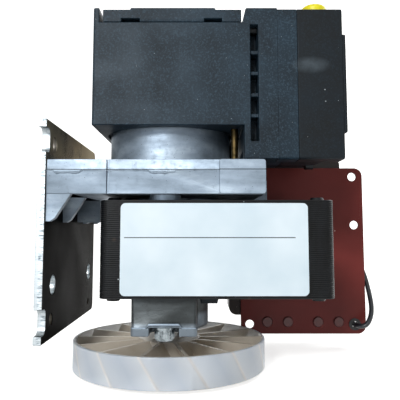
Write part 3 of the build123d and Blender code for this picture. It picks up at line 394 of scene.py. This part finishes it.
def dippedLaminations():
    # electrical sheet dipped in black varnish: near-black, wet-looking runs, dust and brown spots on the
    # sheet edges
    material, tree, shader, place = newMaterial("dippedLaminations")
    along = addNode(tree, "Mapping", {"Vector": place, "Scale": (1.0, 1.0, 0.35)})
    runs = addNode(tree, "TexNoise",
                   {"Vector": along, "Scale": perMm(varnish["runs"]), "Detail": 4.0, "Roughness": 0.6})
    dark, light = varnish["tones"]
    base = addNode(tree, "ValToRGB", {"Fac": runs}, [(0.35, dark), (0.65, light)])
    brownCells = addNode(tree, "TexVoronoi", {"Vector": place, "Scale": perMm(varnish["spots"])})
    brown = addNode(tree, "MapRange",
                    {"Value": brownCells, "From Min": 0.1, "From Max": 0.04, "To Max": 0.6})
    spotted = addNode(tree, "Mix", {0: brown, 6: base, 7: varnish["brown"]}, data_type="RGBA")
    cells = addNode(tree, "TexVoronoi", {"Vector": place, "Scale": perMm(varnish["specks"])})
    speck = addNode(tree, "Math", {0: cells, 1: 0.045}, operation="LESS_THAN")
    dusty = addNode(tree, "Mix", {0: speck, 6: spotted, 7: varnish["dust"]}, data_type="RGBA")
    rough = addNode(tree, "MapRange",
                    {"Value": runs, "From Min": 0.3, "From Max": 0.7, "To Min": 0.3, "To Max": 0.46})
    drops = addNode(tree, "TexNoise", {"Vector": place, "Scale": perMm(varnish["drops"]), "Detail": 3.0})
    relief = addNode(tree, "Bump", {"Height": drops, "Distance": varnish["relief"] * mm, "Strength": 0.5})
    feed(tree, shader, {"Base Color": dusty, "Roughness": rough, "Normal": relief, "IOR": 1.5,
                        "Specular IOR Level": 0.22})
    return material


powderCoat = {
    "deep": "#5c1f1c", "bright": "#702b28", "clouds": 24.0, "speck": "#cfa9a4", "specks": 13.0, "peel": 0.9,
    "relief": 0.04,
}


def redPowderCoat():
    # brick-red powder coat on sheet: fine orange peel, soft gloss, a few dust specks
    material, tree, shader, place = newMaterial("redPowderCoat")
    tone = addNode(tree, "TexNoise", {"Vector": place, "Scale": perMm(powderCoat["clouds"]), "Detail": 3.0})
    base = addNode(tree, "ValToRGB", {"Fac": tone},
                   [(0.3, powderCoat["deep"]), (0.7, powderCoat["bright"])])
    cells = addNode(tree, "TexVoronoi", {"Vector": place, "Scale": perMm(powderCoat["specks"])})
    speck = addNode(tree, "Math", {0: cells, 1: 0.025}, operation="LESS_THAN")
    dusty = addNode(tree, "Mix", {0: speck, 6: base, 7: powderCoat["speck"]}, data_type="RGBA")
    peel = addNode(tree, "TexNoise", {"Vector": place, "Scale": perMm(powderCoat["peel"])})
    relief = addNode(tree, "Bump",
                     {"Height": peel, "Distance": powderCoat["relief"] * mm, "Strength": 0.45})
    rough = addNode(tree, "MapRange",
                    {"Value": tone, "From Min": 0.3, "From Max": 0.7, "To Min": 0.36, "To Max": 0.46})
    feed(tree, shader, {"Base Color": dusty, "Roughness": rough, "Normal": relief, "IOR": 1.5,
                        "Specular IOR Level": 0.2})
    return material


label = {
    "tones": ("#c9dae4", "#dbe8f0"), "clouds": 18.0, "ripples": 6.0, "relief": 0.05,
    "rule": 0.625, "thickness": 0.36, "leftMargin": 1.4, "rightMargin": 4.6, "ink": "#39424a",
}


def labelFilm():
    # matt polyester label film: cool white, unprinted but for one rule
    material, tree, shader, place = newMaterial("labelFilm")
    low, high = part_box("rating_label")
    at = addNode(tree, "SeparateXYZ", {0: place}).outputs
    ruleZ = low.z + (high.z - low.z) * label["rule"]
    onRule = addNode(tree, "Math", {0: at["Z"], 1: ruleZ, 2: label["thickness"] * mm / 2},
                     operation="COMPARE")
    ruleMiddle = (low.x + label["leftMargin"] * mm + high.x - label["rightMargin"] * mm) / 2
    ruleHalf = high.x - label["rightMargin"] * mm - ruleMiddle
    inLength = addNode(tree, "Math", {0: at["X"], 1: ruleMiddle, 2: ruleHalf}, operation="COMPARE")
    rule = addNode(tree, "Math", {0: onRule, 1: inLength}, operation="MULTIPLY")
    wash = addNode(tree, "TexNoise", {"Vector": place, "Scale": perMm(label["clouds"]), "Detail": 3.0})
    cool, pale = label["tones"]
    base = addNode(tree, "ValToRGB", {"Fac": wash}, [(0.3, cool), (0.7, pale)])
    inked = addNode(tree, "Mix", {0: rule, 6: base, 7: label["ink"]}, data_type="RGBA")
    ripples = addNode(tree, "TexNoise", {"Vector": place, "Scale": perMm(label["ripples"])})
    relief = addNode(tree, "Bump", {"Height": ripples, "Distance": label["relief"] * mm, "Strength": 0.3})
    feed(tree, shader, {"Base Color": inked, "Roughness": 0.45, "Normal": relief})
    return material


milky = {
    "blades": 14, "lean": 7.2, "height": 11.2, "top": -45.5, "radius": 40.5,
    "ringInside": 39.0, "ringOutside": 40.2, "haze": 9.0, "passes": 0.45,
    "ring": ("#ffffff", "#e6effa", "#d3dfee", "#e9f1fa"), "dusty": ("#d2c8b9", "#e4dccf"),
}


def milkyPolyamide():
    # natural polyamide, injection moulded, lets some light through; each blade's root is painted into the
    # ring as a pale slanting band, painted light, and the blades inside are painted warm grey, partly dust
    # and partly painted shade
    material, tree, shader, place = newMaterial("milkyPolyamide")
    at = addNode(tree, "SeparateXYZ", {0: place}).outputs
    across = addNode(tree, "Math", {0: at["X"], 1: shaftX * mm}, operation="SUBTRACT")
    toFront = addNode(tree, "Math", {0: at["Y"], 1: -1.0}, operation="MULTIPLY")
    angle = addNode(tree, "Math", {0: across, 1: toFront}, operation="ARCTAN2")
    turns = addNode(tree, "Math", {0: angle, 1: milky["blades"] / math.tau}, operation="MULTIPLY")
    # the band moves on by the blade's lean as it goes down the ring, and starts half a pitch round as the
    # turned wheel's blades do
    leanTurns = milky["lean"] / milky["height"] / milky["radius"] * milky["blades"] / math.tau / mm
    down = addNode(tree, "Math", {0: at["Z"], 1: leanTurns, 2: 0.5 - milky["top"] * mm * leanTurns},
                   operation="MULTIPLY_ADD")
    turned = addNode(tree, "Math", {0: turns, 1: down}, operation="ADD")
    phase = addNode(tree, "Math", {0: turned}, operation="FRACT")
    # the pale band and each panel's lighter and darker parts: painted light in the ring's colour
    paintedLightBand, after, between, before = milky["ring"]
    ring = addNode(tree, "ValToRGB", {"Fac": phase},
                   [(0.0, paintedLightBand), (1.0, paintedLightBand), (0.07, after), (0.55, between), (0.95, before)])
    haze = addNode(tree, "TexNoise", {"Vector": place, "Scale": perMm(milky["haze"]), "Detail": 4.0})
    # the blades' warm grey: partly dust, partly painted shade where the fan lies under the stack
    dust = addNode(tree, "ValToRGB", {"Fac": haze}, [(0.3, milky["dusty"][0]), (0.7, milky["dusty"][1])])
    flatPlace = addNode(tree, "CombineXYZ", {"X": across, "Y": at["Y"]})
    radius = addNode(tree, "VectorMath", {0: flatPlace}, operation="LENGTH").outputs["Value"]
    outside = addNode(tree, "MapRange",
                      {"Value": radius, "From Min": milky["ringInside"] * mm,
                       "From Max": milky["ringOutside"] * mm})
    color = addNode(tree, "Mix", {0: outside, 6: dust, 7: ring}, data_type="RGBA")
    rough = addNode(tree, "MapRange",
                    {"Value": haze, "From Min": 0.3, "From Max": 0.7, "To Min": 0.3, "To Max": 0.42})
    feed(tree, shader, {"Base Color": color, "Roughness": rough, "Transmission Weight": milky["passes"],
                        "IOR": 1.53})
    return material


# a plain finish: two close tones in clouds, a little relief; sizes in millimetres
plainFinishes = {
    "copper": {"name": "bareCopper", "tones": ("#8e5233", "#b8724c"), "clouds": 3.0, "rough": 0.3,
               "metal": 1.0},
    "white_moulding": {"name": "ureaMoulding", "tones": ("#cfcec8", "#dfded8"), "clouds": 6.0,
                       "rough": 0.45},
    "winding_tape": {"name": "polyesterTape", "tones": ("#131317", "#222228"), "clouds": 4.0, "rough": 0.35,
                     "relief": 0.08},
    # the stud's dark brass tones: painted shade, the stud stands in shade between the cylinder and the
    # column
    "brass": {"name": "brassStud", "tones": ("#2f2919", "#57492f"), "clouds": 1.5, "rough": 0.38,
              "metal": 1.0},
    "filter_felt": {"name": "woolFelt", "tones": ("#b9b6ab", "#d6d3c9"), "clouds": 1.2, "rough": 0.9,
                    "relief": 0.25},
    "black_rubber": {"name": "nitrileRubber", "tones": ("#101112", "#1b1d1f"), "clouds": 5.0, "rough": 0.6},
    "yellow_plastic": {"name": "softPolyethylene", "tones": ("#e3d60c", "#f3e82c"), "clouds": 5.0,
                       "rough": 0.42},
    "red_rivet": {"name": "coatedRivet", "tones": ("#3f1615", "#541f1d"), "clouds": 2.0, "rough": 0.4},
    "lead_jacket": {"name": "pvcJacket", "tones": ("#101317", "#1f242b"), "clouds": 3.0, "rough": 0.36},
}


def plainFinish(slotName):
    chosen = plainFinishes[slotName]
    material, tree, shader, place = newMaterial(chosen["name"])
    tone = addNode(tree, "TexNoise", {"Vector": place, "Scale": perMm(chosen["clouds"]), "Detail": 4.0})
    color = addNode(tree, "ValToRGB", {"Fac": tone},
                    [(0.32, chosen["tones"][0]), (0.68, chosen["tones"][1])])
    low, high = chosen["rough"] - 0.06, chosen["rough"] + 0.08
    rough = addNode(tree, "MapRange",
                    {"Value": tone, "From Min": 0.3, "From Max": 0.7, "To Min": low, "To Max": high})
    skin = addNode(tree, "TexNoise", {"Vector": place, "Scale": perMm(0.6), "Detail": 3.0})
    relief = addNode(tree, "Bump",
                     {"Height": skin, "Distance": chosen.get("relief", 0.03) * mm, "Strength": 0.5})
    feed(tree, shader, {"Base Color": color, "Roughness": rough, "Normal": relief,
                        "Metallic": chosen.get("metal", 0.0)})
    return material


finishes = {
    "bare_steel": rolledSteelPlate(),
    "zinc_steel": zincPlate(),
    "ground_steel": groundSteel(),
    "cast_aluminium": dieCastAluminium("frameCasting"),
    # the bracket's finish carries painted shade in its tones
    "cast_aluminium_grey": dieCastAluminium("bracketCasting"),
    "black_lacquer_steel": dippedLaminations(),
    "black_moulding": glassFilledPolyamide("housingMoulding"),
    "dark_moulding": phenolicMoulding(),
    "label_film": labelFilm(),
    "milky_plastic": milkyPolyamide(),
    "red_coating": redPowderCoat(),
}
for slotName in plainFinishes:
    finishes[slotName] = plainFinish(slotName)
# a darker copy of the housing's moulding: painted shade on parts that stand in shade
headMoulding = glassFilledPolyamide("headMoulding")
finishOf = {node: finishes[slotName] for node, slotName in slotOf.items()}
for nodeName in ("head_plate", "head_end_plate", "coil_bobbin", "wire_clip"):
    finishOf[nodeName] = headMoulding
finishOf["stack_rivets"] = finishes["black_lacquer_steel"]  # dipped with the pack
finishOf["head_screws"] = blackOxide()
for nodeName, obj in frame["nodes"].items():
    obj.data.materials.clear()
    obj.data.materials.append(finishOf[nodeName])
print("finishes:", len(finishes))


# pieces
def place(obj, nodeName, *replaced):
    bpy.context.scene.collection.objects.link(obj)
    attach(obj, bodyOf[nodeName])
    if replaced:
        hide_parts(*replaced)
    return obj


def mergedCopy(nodeName):
    # a CAD node's mesh with its loose triangles merged and its flat faces joined
    mesh = frame["nodes"][nodeName].data.copy()
    work = bmesh.new()
    work.from_mesh(mesh)
    bmesh.ops.remove_doubles(work, verts=work.verts, dist=1e-6)
    bmesh.ops.dissolve_limit(work, angle_limit=math.radians(0.4), verts=work.verts, edges=work.edges)
    work.to_mesh(mesh)
    work.free()
    return mesh


def smoothBelow(mesh, angle):
    mesh.polygons.foreach_set("use_smooth", [True] * len(mesh.polygons))
    mesh.set_sharp_from_angle(angle=math.radians(angle))


def softened(nodeName, name, radius, segments=2):
    # the node's own shape with its sharp edges rounded, radius in millimetres
    mesh = mergedCopy(nodeName)
    smoothBelow(mesh, 40)
    obj = bpy.data.objects.new(name, mesh)
    bevel = obj.modifiers.new("edges", "BEVEL")
    bevel.width = radius * mm
    bevel.segments = segments
    bevel.limit_method = "ANGLE"
    bevel.angle_limit = math.radians(42)
    bevel.use_clamp_overlap = False
    bevel.harden_normals = True
    return place(obj, nodeName, nodeName)


def surfaceMesh(name, grids, material, smooth=40):
    # one mesh from several grids of points, each (points[u, v], closed in u, closed in v)
    vertices, faces, start = [], [], 0
    for points, closedU, closedV in grids:
        rows, columns = points.shape[:2]
        index = np.arange(rows * columns).reshape(rows, columns) + start
        if closedU:
            index = np.vstack([index, index[:1]])
        if closedV:
            index = np.hstack([index, index[:, :1]])
        corners = (index[:-1, :-1], index[1:, :-1], index[1:, 1:], index[:-1, 1:])
        faces.append(np.stack(corners, -1).reshape(-1, 4))
        vertices.append(points.reshape(-1, 3))
        start += rows * columns
    mesh = bpy.data.meshes.new(name)
    mesh.from_pydata(np.concatenate(vertices).tolist(), [], np.concatenate(faces).tolist())
    work = bmesh.new()
    work.from_mesh(mesh)
    bmesh.ops.remove_doubles(work, verts=work.verts, dist=1e-7)
    bmesh.ops.recalc_face_normals(work, faces=work.faces)
    work.to_mesh(mesh)
    work.free()
    smoothBelow(mesh, smooth)
    mesh.materials.append(material)
    return bpy.data.objects.new(name, mesh)


def seenRays(tree):
    # 1 for rays that show the background itself: from the camera, off gloss or through glass
    rays = addNode(tree, "LightPath").outputs
    shown = addNode(tree, "Math", {0: rays["Is Glossy Ray"], 1: rays["Is Transmission Ray"]},
                    operation="MAXIMUM")
    return addNode(tree, "Math", {0: rays["Is Camera Ray"], 1: shown}, operation="MAXIMUM")


stage = {"gap": 0.002, "halfWidth": 2.0, "front": -1.6, "back": 0.75, "backRadius": 0.25, "top": 1.8,
         "paper": "#f4f4f2", "glow": 0.72}  # metres


def addStage():
    floorLevel = cadLow.z - stage["gap"]
    backRadius = stage["backRadius"]
    # floor that turns up into the backdrop: straight, quarter circle, straight
    turn = np.linspace(0, math.pi / 2, 25)
    profileY = np.concatenate([[stage["front"]], stage["back"] + backRadius * np.sin(turn),
                               [stage["back"] + backRadius]])
    profileZ = np.concatenate([[0], backRadius * (1 - np.cos(turn)), [stage["top"]]])
    across = np.linspace(-stage["halfWidth"], stage["halfWidth"], 3)
    points = np.zeros((len(across), len(profileY), 3))
    points[..., 0] = across[:, None]
    points[..., 1] = profileY[None]
    points[..., 2] = profileZ[None] + floorLevel
    # matt white paper that also shows white to the camera and in reflections
    material = bpy.data.materials.new("paperSweep")
    material.use_nodes = True
    tree = material.node_tree
    tree.nodes.clear()
    paper = addNode(tree, "BsdfDiffuse", {"Color": stage["paper"]})
    glowing = addNode(tree, "Math", {0: seenRays(tree), 1: stage["glow"]}, operation="MULTIPLY")
    glow = addNode(tree, "Emission", {"Strength": glowing})
    addNode(tree, "OutputMaterial", {"Surface": addNode(tree, "AddShader", {0: paper, 1: glow})})
    sweep = surfaceMesh("paperSweep", [(points, False, False)], material)
    bpy.context.scene.collection.objects.link(sweep)


lamps = {
    "key": {"from": (-0.33, -1.15, 0.52), "size": 0.24, "power": 12.4, "color": "#fbfaf8"},
    "front": {"from": (-0.40, -1.05, 0.12), "size": 0.2, "power": 1.2, "color": "#e6f0ff"},
    "back": {"from": (0.75, 0.55, 0.70), "size": 0.6, "power": 7.0, "color": "#ffffff"},
}
skyStrength = 0.15


def addLamps():
    middle = np.array([(cadLow.x + cadHigh.x) / 2, 0.0, (cadLow.z + cadHigh.z) / 2])
    for name, lamp in lamps.items():
        data = bpy.data.lights.new(name, "AREA")
        data.size = lamp["size"]
        data.energy = lamp["power"]
        data.color = linearColor(lamp["color"])[:3]
        obj = bpy.data.objects.new(name, data)
        obj.location = lamp["from"]
        aim = middle - np.array(lamp["from"])
        aim /= np.linalg.norm(aim)
        obj.rotation_euler = (math.acos(-aim[2]), 0, math.atan2(aim[1], aim[0]) - math.pi / 2)
        bpy.context.scene.collection.objects.link(obj)
    world = bpy.data.worlds.new("studio")
    bpy.context.scene.world = world
    world.use_nodes = True
    tree = world.node_tree
    tree.nodes.clear()
    strength = addNode(tree, "MapRange", {"Value": seenRays(tree), "To Min": skyStrength, "To Max": 1.0})
    sky = addNode(tree, "Background", {"Color": "#ffffff", "Strength": strength})
    addNode(tree, "OutputWorld", {"Surface": sky})


addStage()
addLamps()
bpy.context.scene.view_settings.view_transform = "Standard"
print("stage and lamps")

# lead: out of the box's side, round the red plate's edge, through its corner hole, into the box's foot
leadRoute = [
    (129.8, 55.0, -12.0), (139.0, 55.0, -12.0), (144.0, 51.5, -20.5), (145.4, 46.3, -31.0),
    (145.2, 40.4, -41.0), (141.4, 37.2, -47.6), (137.3, 39.4, -48.1), (137.2, 46.0, -47.9),
    (136.6, 52.4, -48.8), (130.4, 55.6, -52.2), (124.0, 55.0, -49.4), (124.0, 55.0, -41.6),
]
leadDiameter = 2.4


def addLead():
    curve = bpy.data.curves.new("leadCord", "CURVE")
    curve.dimensions = "3D"
    curve.bevel_depth = leadDiameter / 2 * mm
    curve.bevel_resolution = 6
    curve.resolution_u = 12
    curve.use_fill_caps = True
    spline = curve.splines.new("NURBS")
    spline.points.add(len(leadRoute) - 1)
    for point, (x, y, z) in zip(spline.points, leadRoute):
        point.co = (x * mm, y * mm, z * mm, 1)
    spline.order_u = 3
    spline.use_endpoint_u = True
    curve.materials.append(finishes["lead_jacket"])
    obj = place(bpy.data.objects.new("leadCord", curve), "lead", "lead")


addLead()

# lamination pack: sheet after sheet, each a hair out of line
pack = {"sheets": 48, "stagger": 0.05, "edge": 0.13}


def addLaminations():
    # the pack's outline squeezed to one sheet's thickness and repeated up the pack
    low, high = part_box("stator_stack")
    mesh = mergedCopy("stator_stack")
    count = len(mesh.vertices)
    points = np.zeros(count * 3)
    mesh.vertices.foreach_get("co", points)
    points = points.reshape(-1, 3)
    faces = [list(face.vertices) for face in mesh.polygons]
    pitch = (high.z - low.z) / pack["sheets"]
    share = (points[:, 2] - low.z) / (high.z - low.z)
    random = np.random.default_rng(4)
    levels, allFaces = [], []
    middle = np.array([(low.x + high.x) / 2, 0.0])
    for sheet in range(pack["sheets"]):
        moved = points.copy()
        moved[:, 2] = low.z + (sheet + share) * pitch
        inward = 1 - random.uniform(0.0, 2 * pack["stagger"]) * mm / (high.x - low.x)
        moved[:, :2] = middle + (moved[:, :2] - middle) * inward
        levels.append(moved)
        allFaces += [[index + sheet * count for index in face] for face in faces]
    made = bpy.data.meshes.new("laminations")
    made.from_pydata(np.concatenate(levels).tolist(), [], allFaces)
    smoothBelow(made, 35)
    made.materials.append(finishes["black_lacquer_steel"])
    obj = bpy.data.objects.new("laminations", made)
    bevel = obj.modifiers.new("edges", "BEVEL")
    bevel.width = pack["edge"] * mm
    bevel.segments = 1
    bevel.limit_method = "ANGLE"
    bevel.angle_limit = math.radians(50)
    bevel.use_clamp_overlap = False
    place(obj, "stator_stack", "stator_stack")


addLaminations()

# housings and castings with their edges rounded
edgeRadii = {
    "head_housing": 0.35, "filter_lid": 0.3, "intermediate_plate": 0.25, "head_plate": 0.35,
    "head_end_plate": 0.2, "crankcase": 0.14, "lower_bearing_bracket": 0.35, "mounting_plate": 0.22,
    "wall_plate": 0.25, "terminal_box": 0.4,
}
for nodeName, radius in edgeRadii.items():
    first, *rest = nodeName.split("_")
    softened(nodeName, first + "".join(word.capitalize() for word in rest), radius)
print("rounded pieces:", len(edgeRadii))


# fan, turned half a blade pitch from the solid's rest place
def addFan():
    # the wheel moved to the axis, turned, and moved back
    mesh = mergedCopy("fan_wheel")
    smoothBelow(mesh, 35)
    toAxis = Matrix.Translation((shaftX * mm, 0, 0))
    mesh.transform(toAxis @ Matrix.Rotation(math.pi / milky["blades"], 4, "Z") @ toAxis.inverted())
    place(bpy.data.objects.new("fanWheel", mesh), "fan_wheel", "fan_wheel")


addFan()

# ragged flash along the arm's parting line, thicker in two places
flash = {"left": 3.6, "right": 65.0, "face": -45.3, "level": 21.2, "proud": 0.2, "half": 0.15,
         "swellings": ((5.0, 16.0), (39.0, 50.0)), "drop": 0.75, "ragged": 0.5, "ramp": 1.5, "thicker": 1.5}


def addRidge(name, nodeName, along, face, level, size, sections):
    # a flattened tube: round the loop by one angle, along x; its half sizes follow size, which is nothing at
    # both ends
    proud, half = sections
    size[[0, -1]] = 0.0
    angle = np.linspace(0, math.tau, 10, endpoint=False)
    points = np.zeros((len(along), len(angle), 3))
    points[..., 0] = along[:, None]
    points[..., 1] = face[:, None] - proud * size[:, None] * np.cos(angle)
    points[..., 2] = level[:, None] + half * size[:, None] * np.sin(angle)
    place(surfaceMesh(name, [(points * mm, False, True)], finishes["cast_aluminium"]), nodeName)


def addFlash():
    along = np.linspace(flash["left"], flash["right"], 260)
    swell = np.zeros_like(along)
    for left, right in flash["swellings"]:
        swell += np.clip(np.minimum(along - left, right - along) / flash["ramp"], 0, 1)
    random = np.random.default_rng(7)
    rough = np.convolve(random.uniform(-1, 1, len(along) + 8), np.ones(9) / 3, "valid") * flash["ragged"]
    size = (1 + flash["thicker"] * swell) * (1 + rough)
    level = flash["level"] - flash["drop"] * swell
    addRidge("flashRidge", "crankcase", along, np.full_like(along, flash["face"]), level, size,
             (flash["proud"], flash["half"]))


addFlash()

# a raised bead along the lower bracket's lower edge, rising over the bolt head, in the frame casting's
# lighter finish: a painted highlight
highlightBead = {"left": 33.1, "right": 56.7, "level": -35.35, "rise": 1.35, "rampFrom": 6.8, "rampTo": 5.4,
           "face": -38.3, "step": 0.55, "thick": 0.24}


def addHighlightBeads():
    for side in (-1, 1):
        along = np.linspace(highlightBead["left"], highlightBead["right"], 90)
        off = np.abs(along - shaftX)
        raised = np.clip((highlightBead["rampFrom"] - off) / (highlightBead["rampFrom"] - highlightBead["rampTo"]), 0, 1)
        raised = raised * raised * (3 - 2 * raised)
        face = (highlightBead["face"] - highlightBead["step"] * raised) * -side
        level = highlightBead["level"] + highlightBead["rise"] * raised
        size = 1 + raised
        name = "lipBeadFront" if side < 0 else "lipBeadBack"
        # the ridge takes the frame casting's lighter finish: a painted highlight on the darker bracket
        addRidge(name, "lower_bearing_bracket", along, face, level, size,
                 (highlightBead["thick"], highlightBead["thick"]))


addHighlightBeads()

# knurled bands round the two bolt heads
knurl = {
    "boltY": 34.0, "top": -36.6, "bottom": -39.8, "inner": 3.3, "outer": 3.56, "chamfer": 0.25,
    "ridge": 0.11, "ridges": 26,
}


def addKnurls():
    # ring whose outer radius rises and falls with the angle; the second parameter goes round its section
    angle = np.linspace(0, math.tau, knurl["ridges"] * 4, endpoint=False)
    wave = knurl["outer"] + knurl["ridge"] * np.cos(angle * knurl["ridges"])
    chamfer = knurl["chamfer"]
    level = np.array([knurl["bottom"], knurl["bottom"] + chamfer, knurl["top"] - chamfer, knurl["top"]])
    grids = []
    for side in (-1, 1):
        radius = np.stack([np.full_like(angle, knurl["inner"]), wave, wave,
                           np.full_like(angle, knurl["inner"])], 1)
        points = np.zeros((*radius.shape, 3))
        points[..., 0] = shaftX + radius * np.cos(angle)[:, None]
        points[..., 1] = side * knurl["boltY"] + radius * np.sin(angle)[:, None]
        points[..., 2] = level
        grids.append((points * mm, True, True))
    place(surfaceMesh("boltKnurls", grids, finishes["zinc_steel"], 30), "bracket_bolts")


addKnurls()
print("small pieces")
